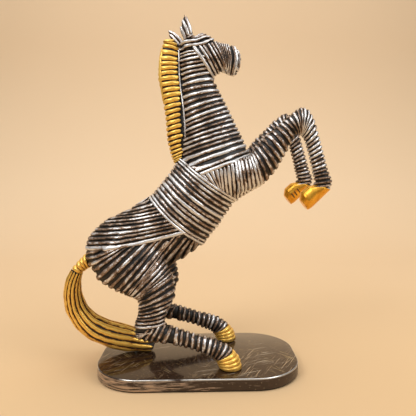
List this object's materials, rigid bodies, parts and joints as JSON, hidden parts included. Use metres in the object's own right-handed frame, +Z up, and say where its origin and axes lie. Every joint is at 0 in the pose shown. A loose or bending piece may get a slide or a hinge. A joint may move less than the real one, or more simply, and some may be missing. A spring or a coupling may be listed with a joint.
{
  "type": "rearing horse ornament",
  "caption": "Rearing horse figure bound in wound cord, silver and black with a gold mane, tail and hooves, on an oblong brown base with rounded ends.",
  "frame": {"origin": "middle of the underside of the base", "axes": "+X the way the horse faces, +Y the horse's left, +Z up"},
  "size_m": [0.2139, 0.096, 0.2814],
  "materials": {
    "silver_resin": "cast polyresin, black ground dry-brushed with silver",
    "gold_resin": "cast polyresin, dark ground brushed with gold",
    "base_lacquer": "gloss brown lacquer, rubbed with silver at the edge",
    "felt": "black felt",
    "steel_wire": "plain drawn wire",
    "steel_screw": "zinc-plated",
    "dowel_wood": "plain beech"
  },
  "bodies": {
    "root": {"barrel": "silver_resin", "base_felt": "felt", "base_screws": "steel_screw", "base_slab": "base_lacquer", "chest": "silver_resin", "head": "silver_resin", "head_dowel": "dowel_wood", "hindquarters": "silver_resin", "left_ear": "silver_resin", "left_fore_cannon": "silver_resin", "left_fore_hoof": "gold_resin", "left_fore_wire": "steel_wire", "left_forearm": "silver_resin", "left_gaskin": "silver_resin", "left_hind_hoof": "gold_resin", "left_hind_wire": "steel_wire", "left_shank": "silver_resin", "left_thigh": "silver_resin", "mane": "gold_resin", "muzzle": "silver_resin", "neck": "silver_resin", "neck_dowel": "dowel_wood", "right_ear": "silver_resin", "right_fore_cannon": "silver_resin", "right_fore_hoof": "gold_resin", "right_fore_wire": "steel_wire", "right_forearm": "silver_resin", "right_gaskin": "silver_resin", "right_hind_hoof": "gold_resin", "right_hind_wire": "steel_wire", "right_shank": "silver_resin", "right_thigh": "silver_resin", "tail": "gold_resin", "tail_binding": "gold_resin", "tail_wire": "steel_wire", "trunk_dowels": "dowel_wood"}
  },
  "joints": []
}
